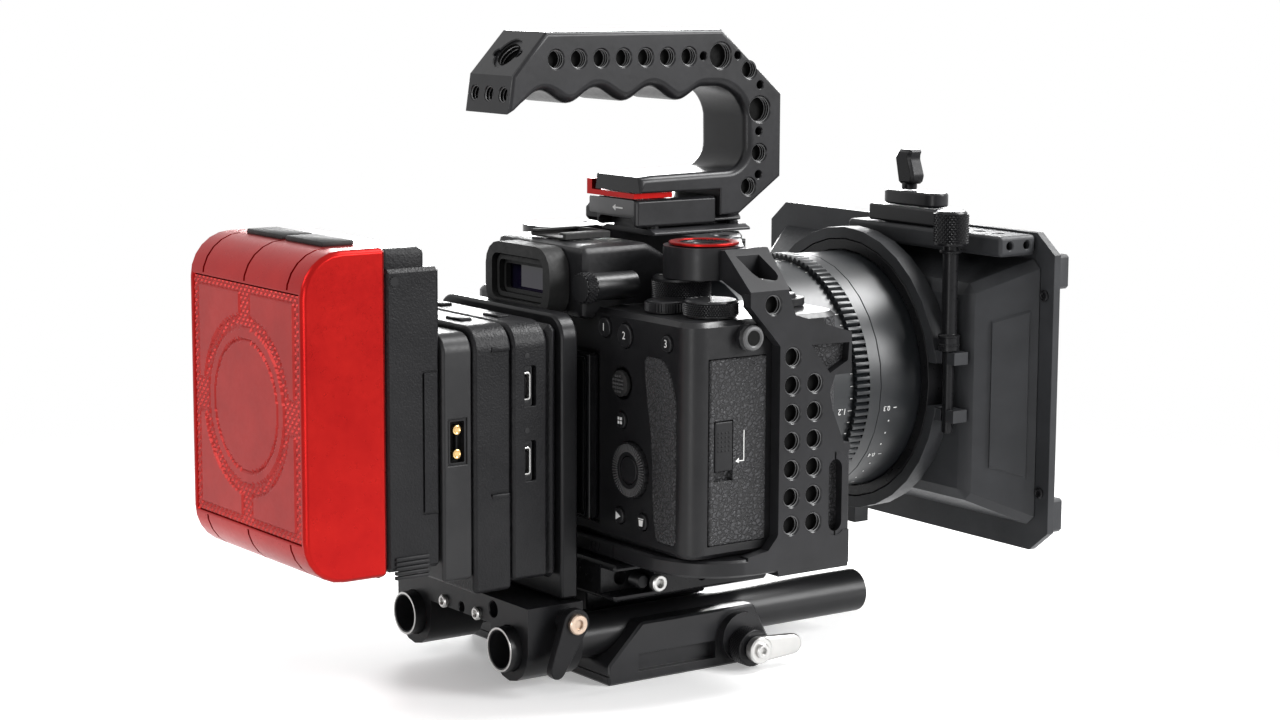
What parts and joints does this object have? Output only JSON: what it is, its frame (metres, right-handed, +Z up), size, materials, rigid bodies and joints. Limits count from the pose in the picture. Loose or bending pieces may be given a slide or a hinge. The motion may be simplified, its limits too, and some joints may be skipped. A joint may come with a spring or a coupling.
{
  "type": "cinema camera rig",
  "caption": "Caged camera on two support rods with a geared cine lens, clamp-on matte box, top handle and rear battery stack; rings, dials, buttons, levers, door, screen and battery move.",
  "frame": {"origin": "centre of the base plate's bottom face, on the surface that the rig stands on", "axes": "+X to the operator's right, +Y along the lens towards the scene, +Z up"},
  "size_m": [0.1618, 0.28, 0.2137],
  "materials": {
    "black_metal": "black anodised, satin",
    "satin_metal": "grey anodised, satin",
    "bright_metal": "silver, satin",
    "black_plastic": "fine grained black",
    "grey_plastic": "dark grey, matte",
    "gloss_black": "glossy black",
    "red_plastic": "orange-red, satin",
    "dark_red": "dark red, glossy",
    "rubber": "leather-grained black",
    "glass": "coated optical glass"
  },
  "bodies": {
    "rig": {"rod_left": "black_metal", "rod_right": "black_metal", "baseplate": "black_metal", "riser": "black_metal", "quick_release_clamp": "black_metal", "cage": "black_metal", "boss_ring": "red_plastic", "camera_body": "black_plastic", "eyecup": "rubber", "eyepiece_glass": "glass", "hot_shoe": "satin_metal", "lens_barrel": "black_metal", "lens_front_barrel": "black_metal", "lens_front_glass": "glass", "adapter_ring": "black_plastic", "matte_clamp_ring": "grey_plastic", "matte_shade": "grey_plastic", "matte_flange": "grey_plastic", "flag_bracket": "grey_plastic", "flag_slide": "black_metal", "flag_lock_base": "black_metal", "accessory_rail": "black_metal", "bracket_plate": "satin_metal", "spacer_plate": "black_plastic", "module_front": "black_plastic", "module_rear": "black_plastic", "battery_plate": "grey_plastic", "rod_clamp": "satin_metal"},
    "handle": {"top_handle": "black_metal", "handle_clamp": "black_metal"},
    "rod_lock": {"rod_lock_knob": "black_metal", "rod_lock_lever": "bright_metal"},
    "battery": {"battery_shell": "red_plastic", "battery_panel": "dark_red", "battery_base": "black_plastic"},
    "focus_ring": {"focus_ring": "black_metal"},
    "iris_ring": {"iris_ring": "black_metal"},
    "mode_dial": {"mode_dial": "black_plastic"},
    "exposure_dial": {"exposure_dial": "black_plastic"},
    "rear_dial": {"rear_dial": "black_plastic"},
    "control_wheel": {"control_wheel": "black_plastic"},
    "wheel_button": {"wheel_button": "black_plastic"},
    "diopter_dial": {"diopter_dial": "black_plastic"},
    "c1_button": {"c1_button": "black_plastic"},
    "af_on_button": {"af_on_button": "black_plastic"},
    "ael_button": {"ael_button": "black_plastic"},
    "fn_button": {"fn_button": "black_plastic"},
    "play_button": {"play_button": "black_plastic"},
    "trash_button": {"trash_button": "black_plastic"},
    "joystick": {"joystick": "black_plastic"},
    "shutter_button": {"shutter_button": "black_plastic"},
    "power_ring": {"power_ring": "black_plastic"},
    "screen": {"screen": "gloss_black"},
    "card_door": {"card_door": "rubber"},
    "card_latch": {"card_latch": "black_plastic"},
    "release_lever": {"release_lever": "red_plastic"},
    "rod_clamp_lever": {"rod_clamp_lever": "satin_metal"},
    "clamp_thumb_screw": {"clamp_thumb_screw": "black_metal"},
    "flag_lock_lever": {"flag_lock_lever": "black_metal"},
    "battery_release": {"battery_release": "black_plastic"}
  },
  "joints": [
    {"name": "focus_turn", "type": "hinge", "parent": "rig", "child": "focus_ring", "pos_m": [0, 0.0589, 0.0898], "axis": [0, 1, 0], "range_deg": [-135, 135]},
    {"name": "iris_turn", "type": "hinge", "parent": "rig", "child": "iris_ring", "pos_m": [0, 0.0446, 0.0898], "axis": [0, 1, 0], "range_deg": [-40, 40]},
    {"name": "mode_dial_turn", "type": "hinge", "parent": "rig", "child": "mode_dial", "pos_m": [0.037, 0.0015, 0.1243], "axis": [0, 0, 1], "continuous": true},
    {"name": "exposure_dial_turn", "type": "hinge", "parent": "rig", "child": "exposure_dial", "pos_m": [0.066, -0.008, 0.1243], "axis": [0, 0, 1], "continuous": true},
    {"name": "rear_dial_turn", "type": "hinge", "parent": "rig", "child": "rear_dial", "pos_m": [0.049, -0.013, 0.1243], "axis": [0, 0, 1], "continuous": true},
    {"name": "control_wheel_turn", "type": "hinge", "parent": "rig", "child": "control_wheel", "pos_m": [0.0465, -0.025, 0.0727], "axis": [0, 1, 0], "continuous": true},
    {"name": "diopter_turn", "type": "hinge", "parent": "rig", "child": "diopter_dial", "pos_m": [0.0282, -0.031, 0.131], "axis": [0, 1, 0], "range_deg": [-150, 150]},
    {"name": "c1_button_press", "type": "slide", "parent": "rig", "child": "c1_button", "axis": [0, 1, 0], "range_m": [0, 0.0006], "stiffness_N_per_m": 1500},
    {"name": "af_on_button_press", "type": "slide", "parent": "rig", "child": "af_on_button", "axis": [0, 1, 0], "range_m": [0, 0.0006], "stiffness_N_per_m": 1500},
    {"name": "ael_button_press", "type": "slide", "parent": "rig", "child": "ael_button", "axis": [0, 1, 0], "range_m": [0, 0.0006], "stiffness_N_per_m": 1500},
    {"name": "fn_button_press", "type": "slide", "parent": "rig", "child": "fn_button", "axis": [0, 1, 0], "range_m": [0, 0.0006], "stiffness_N_per_m": 1500},
    {"name": "play_button_press", "type": "slide", "parent": "rig", "child": "play_button", "axis": [0, 1, 0], "range_m": [0, 0.0006], "stiffness_N_per_m": 1500},
    {"name": "trash_button_press", "type": "slide", "parent": "rig", "child": "trash_button", "axis": [0, 1, 0], "range_m": [0, 0.0006], "stiffness_N_per_m": 1500},
    {"name": "wheel_button_press", "type": "slide", "parent": "rig", "child": "wheel_button", "axis": [0, 1, 0], "range_m": [0, 0.0006], "stiffness_N_per_m": 1500},
    {"name": "joystick_tilt", "type": "hinge", "parent": "rig", "child": "joystick", "pos_m": [0.041, -0.025, 0.1006], "axis": [1, 0, 0], "range_deg": [-8, 8], "stiffness_Nm_per_rad": 0.05},
    {"name": "shutter_press", "type": "slide", "parent": "rig", "child": "shutter_button", "axis": [0, 0, -1], "range_m": [0, 0.001], "stiffness_N_per_m": 1200},
    {"name": "power_turn", "type": "hinge", "parent": "rig", "child": "power_ring", "pos_m": [0.056, 0.029, 0.1243], "axis": [0, 0, 1], "range_deg": [0, 35]},
    {"name": "screen_swing", "type": "hinge", "parent": "rig", "child": "screen", "pos_m": [-0.047, -0.0266, 0.053], "axis": [0, 0, -1], "range_deg": [0, 6]},
    {"name": "card_door_swing", "type": "hinge", "parent": "rig", "child": "card_door", "pos_m": [0.0788, 0.005, 0.052], "axis": [0, 0, 1], "range_deg": [0, 85]},
    {"name": "card_latch_slide", "type": "slide", "parent": "card_door", "child": "card_latch", "axis": [0, 0, -1], "range_m": [0, 0.003], "stiffness_N_per_m": 300},
    {"name": "handle_slide", "type": "slide", "parent": "rig", "child": "handle", "axis": [0, 1, 0], "range_m": [-0.008, 0.01]},
    {"name": "release_swing", "type": "hinge", "parent": "handle", "child": "release_lever", "pos_m": [0.0071, 0.013, 0.1573], "axis": [0, 0, -1], "range_deg": [0, 12]},
    {"name": "rod_lock_turn", "type": "hinge", "parent": "rig", "child": "rod_lock", "pos_m": [0.043, 0.022, 0.0073], "axis": [1, 0, 0], "range_deg": [0, 100]},
    {"name": "rod_clamp_turn", "type": "hinge", "parent": "rig", "child": "rod_clamp_lever", "pos_m": [0.041, -0.0475, 0.0246], "axis": [-1, 0, 0], "range_deg": [0, 110]},
    {"name": "thumb_screw_turn", "type": "hinge", "parent": "rig", "child": "clamp_thumb_screw", "pos_m": [0.0549, 0.1046, 0.0898], "axis": [0, 0, 1], "continuous": true},
    {"name": "flag_lock_turn", "type": "hinge", "parent": "rig", "child": "flag_lock_lever", "pos_m": [0.0125, 0.1223, 0.143], "axis": [0, 0, 1], "range_deg": [0, 90]},
    {"name": "battery_lift", "type": "slide", "parent": "rig", "child": "battery", "axis": [0, 0, 1], "range_m": [0, 0.045]},
    {"name": "battery_release_press", "type": "slide", "parent": "rig", "child": "battery_release", "axis": [1, 0, 0], "range_m": [0, 0.002], "stiffness_N_per_m": 600}
  ]
}
